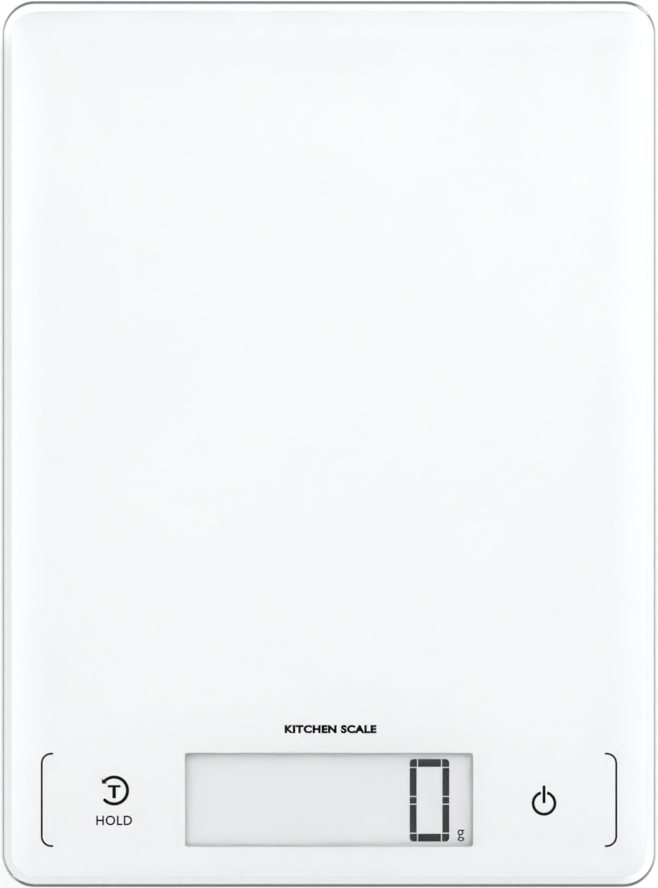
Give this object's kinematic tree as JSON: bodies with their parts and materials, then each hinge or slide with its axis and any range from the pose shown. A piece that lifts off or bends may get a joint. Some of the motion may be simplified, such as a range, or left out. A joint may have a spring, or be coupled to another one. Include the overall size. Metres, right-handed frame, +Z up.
{
  "type": "kitchen scale",
  "caption": "Slim digital kitchen scale: a large rounded glass weighing plate on a low housing, with a segment display, two touch keys and load-cell feet.",
  "frame": {"origin": "middle of the object's footprint, on the surface it stands on", "axes": "+Z up through the weighing plate, +Y away from the display edge, +X to the right of a person reading the display"},
  "size_m": [0.21, 0.284, 0.0203],
  "materials": {
    "battery_wrap": "printed plastic sleeve, plain, with a metallic end band",
    "black_abs": "moulded ABS, black, matt",
    "black_epoxy": "moulded epoxy package",
    "black_foam": "closed-cell foam",
    "black_ink": "black screen-print ink under the glass",
    "black_wire": "PVC insulation, black",
    "ceramic_parts": "ceramic chip parts and a metal can",
    "clear_glass": "polished float glass with a faint green tint",
    "foot_rubber": "soft dark grey rubber, matt",
    "gauge_film": "polyimide film with a foil grid",
    "green_board": "glass-epoxy board with green solder mask",
    "grey_abs": "moulded ABS, grey, fine texture",
    "lcd_dark": "lit liquid-crystal segments, dark grey",
    "lcd_glass": "thin display glass",
    "lcd_reflector": "silver-grey diffuse reflector film",
    "lcd_sealant": "epoxy edge seal",
    "nickel_plate": "nickel-plated spring steel",
    "polariser_film": "grey polariser film, satin",
    "red_wire": "PVC insulation, red",
    "silicone_strip": "layered silicone contact strip",
    "spring_steel": "stamped spring steel",
    "switch_body": "moulded switch body",
    "white_abs": "moulded ABS, fine spark-eroded texture",
    "white_foam_tape": "double-sided foam tape",
    "white_ink": "white screen-print ink under the glass",
    "white_wire": "PVC insulation, white",
    "zinc_screw": "zinc-plated steel"
  },
  "bodies": {
    "housing": {"glass_platform": "clear_glass", "white_print": "white_ink", "printed_symbols": "black_ink", "adhesive_frame": "white_foam_tape", "upper_carrier": "white_abs", "base_cover": "white_abs", "battery_1": "battery_wrap", "battery_2": "battery_wrap", "battery_3": "battery_wrap", "battery_contacts": "nickel_plate", "battery_springs": "nickel_plate", "battery_lead_positive": "red_wire", "battery_lead_negative": "black_wire", "lcd_gasket": "black_foam", "lcd_polariser": "polariser_film", "lcd_front_plate": "lcd_glass", "lcd_segments": "lcd_dark", "lcd_seal": "lcd_sealant", "lcd_rear_plate": "lcd_glass", "lcd_reflector": "lcd_reflector", "lcd_holder": "black_abs", "zebra_strip": "silicone_strip", "main_pcb": "green_board", "controller_chip": "black_epoxy", "pcb_components": "ceramic_parts", "tare_touch_spring": "nickel_plate", "power_touch_spring": "nickel_plate", "unit_switch": "switch_body", "pcb_screws": "zinc_screw", "case_screws": "zinc_screw", "bracket_screws": "zinc_screw", "front_left_load_cell": "spring_steel", "front_left_strain_gauge": "gauge_film", "front_left_cell_bracket": "grey_abs", "front_left_cell_lead": "white_wire", "front_right_load_cell": "spring_steel", "front_right_strain_gauge": "gauge_film", "front_right_cell_bracket": "grey_abs", "front_right_cell_lead": "white_wire", "rear_left_load_cell": "spring_steel", "rear_left_strain_gauge": "gauge_film", "rear_left_cell_bracket": "grey_abs", "rear_left_cell_lead": "white_wire", "rear_right_load_cell": "spring_steel", "rear_right_strain_gauge": "gauge_film", "rear_right_cell_bracket": "grey_abs", "rear_right_cell_lead": "white_wire"},
    "front_left_foot": {"front_left_foot": "grey_abs", "front_left_foot_pad": "foot_rubber"},
    "front_right_foot": {"front_right_foot": "grey_abs", "front_right_foot_pad": "foot_rubber"},
    "rear_left_foot": {"rear_left_foot": "grey_abs", "rear_left_foot_pad": "foot_rubber"},
    "rear_right_foot": {"rear_right_foot": "grey_abs", "rear_right_foot_pad": "foot_rubber"},
    "battery_door": {"battery_door": "white_abs", "door_latch": "white_abs"},
    "unit_button": {"unit_button": "grey_abs", "unit_switch_plunger": "black_abs"}
  },
  "joints": [
    {"name": "front_left_foot_press", "type": "slide", "parent": "housing", "child": "front_left_foot", "axis": [0, 0, 1], "range_m": [0, 0.0005], "stiffness_N_per_m": 30000, "deforming": ["front_left_load_cell"]},
    {"name": "front_right_foot_press", "type": "slide", "parent": "housing", "child": "front_right_foot", "axis": [0, 0, 1], "range_m": [0, 0.0005], "stiffness_N_per_m": 30000, "deforming": ["front_right_load_cell"]},
    {"name": "rear_left_foot_press", "type": "slide", "parent": "housing", "child": "rear_left_foot", "axis": [0, 0, 1], "range_m": [0, 0.0005], "stiffness_N_per_m": 30000, "deforming": ["rear_left_load_cell"]},
    {"name": "rear_right_foot_press", "type": "slide", "parent": "housing", "child": "rear_right_foot", "axis": [0, 0, 1], "range_m": [0, 0.0005], "stiffness_N_per_m": 30000, "deforming": ["rear_right_load_cell"]},
    {"name": "battery_door_hinge", "type": "hinge", "parent": "housing", "child": "battery_door", "pos_m": [0, 0.03805, 0.0035], "axis": [1, 0, 0], "range_deg": [0, 95], "deforming": ["door_latch"]},
    {"name": "unit_button_press", "type": "slide", "parent": "housing", "child": "unit_button", "axis": [0, 0, 1], "range_m": [0, 0.0003], "stiffness_N_per_m": 3000}
  ]
}
